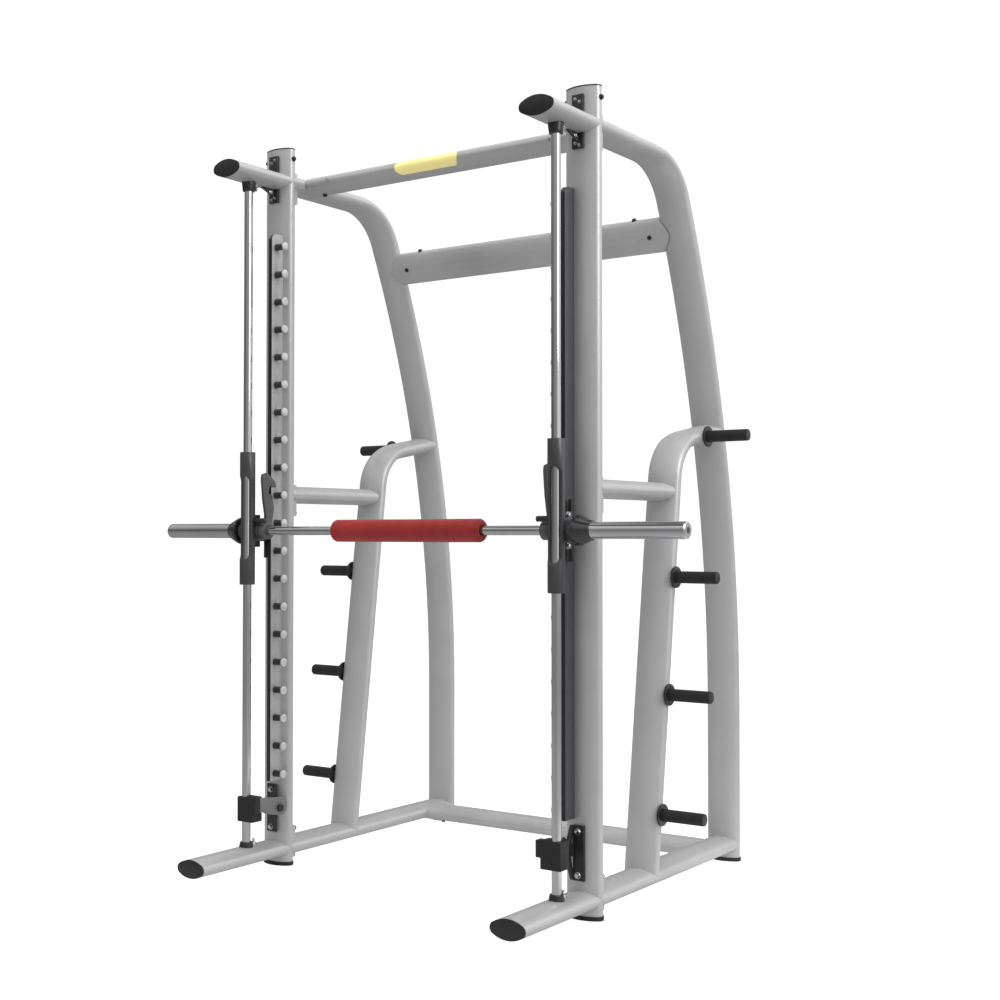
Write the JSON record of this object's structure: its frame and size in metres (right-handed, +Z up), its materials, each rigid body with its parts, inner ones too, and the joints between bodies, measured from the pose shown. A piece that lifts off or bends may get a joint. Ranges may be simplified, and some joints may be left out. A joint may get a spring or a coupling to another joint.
{
  "type": "smith machine",
  "caption": "Free-standing smith machine: oval-tube frame, guide rods with sliding carriages, a turning padded bar with safety hooks and peg ladders, and plate storage horns.",
  "frame": {"origin": "on the floor, under the middle of the footprint of the whole machine", "axes": "+Z up, +X along the bar towards the right-hand side, -Y towards the front, where the guide rods and the bar are"},
  "size_m": [1.99, 1.334, 2.4],
  "materials": {
    "frame_paint": "satin silver-grey powder coat",
    "black_paint": "satin black powder coat",
    "black_plastic": "moulded black",
    "black_rubber": "matt black",
    "cream_plate": "smooth cream enamel",
    "bolt_steel": "blackened bolts",
    "chrome": "polished hard chrome",
    "dark_paint": "semi-gloss graphite",
    "bare_steel": "zinc-plated steel",
    "bronze": "oil-filled bronze",
    "red_foam": "closed-cell foam with a fine grain"
  },
  "bodies": {
    "frame": {"left_upright": "frame_paint", "right_upright": "frame_paint", "left_base_stub": "frame_paint", "right_base_stub": "frame_paint", "left_base_rail": "frame_paint", "right_base_rail": "frame_paint", "left_rear_leg": "frame_paint", "right_rear_leg": "frame_paint", "left_storage_post": "frame_paint", "right_storage_post": "frame_paint", "left_link_arm": "frame_paint", "right_link_arm": "frame_paint", "left_top_arm": "frame_paint", "right_top_arm": "frame_paint", "top_crossmember": "frame_paint", "rear_crossmember": "frame_paint", "floor_crossmember": "frame_paint", "rail_flanges": "frame_paint", "crossmember_stubs": "frame_paint", "top_arm_plates": "black_paint", "upright_caps": "black_plastic", "tube_end_caps": "black_plastic", "feet": "black_rubber", "name_plate": "cream_plate", "frame_bolts": "bolt_steel", "left_guide_rod": "chrome", "right_guide_rod": "chrome", "rod_collars": "black_paint", "bright_bolts": "chrome", "left_peg_rail": "dark_paint", "right_peg_rail": "dark_paint", "left_pegs": "bare_steel", "right_pegs": "bare_steel", "stop_brackets": "black_paint", "stop_arms": "bare_steel", "stop_pins": "black_paint", "stop_bumpers": "black_rubber", "horn_tubes": "bare_steel", "horn_flanges": "black_paint", "horn_sleeves": "black_rubber", "horn_end_caps": "black_plastic"},
    "carriages": {"left_carriage_housing": "dark_paint", "right_carriage_housing": "dark_paint", "left_bar_block": "dark_paint", "right_bar_block": "dark_paint", "guide_strips": "black_plastic", "rod_bushes": "bronze", "bar_bushes": "bronze", "block_bolts": "chrome", "turn_stops": "black_paint"},
    "bar": {"bar_shaft": "chrome", "left_hook": "bare_steel", "right_hook": "bare_steel", "bar_pad": "red_foam"},
    "left_sleeve": {"left_sleeve": "chrome", "left_sleeve_cap": "black_plastic"},
    "right_sleeve": {"right_sleeve": "chrome", "right_sleeve_cap": "black_plastic"}
  },
  "joints": [
    {"name": "carriage_travel", "type": "slide", "parent": "frame", "child": "carriages", "axis": [0, 0, 1], "range_m": [-0.644, 0.828]},
    {"name": "bar_turn", "type": "hinge", "parent": "carriages", "child": "bar", "pos_m": [0, -0.389, 1.112], "axis": [1, 0, 0], "range_deg": [-18, 21]},
    {"name": "left_sleeve_spin", "type": "hinge", "parent": "bar", "child": "left_sleeve", "pos_m": [-0.845, -0.389, 1.112], "axis": [1, 0, 0], "continuous": true},
    {"name": "right_sleeve_spin", "type": "hinge", "parent": "bar", "child": "right_sleeve", "pos_m": [0.845, -0.389, 1.112], "axis": [1, 0, 0], "continuous": true}
  ]
}
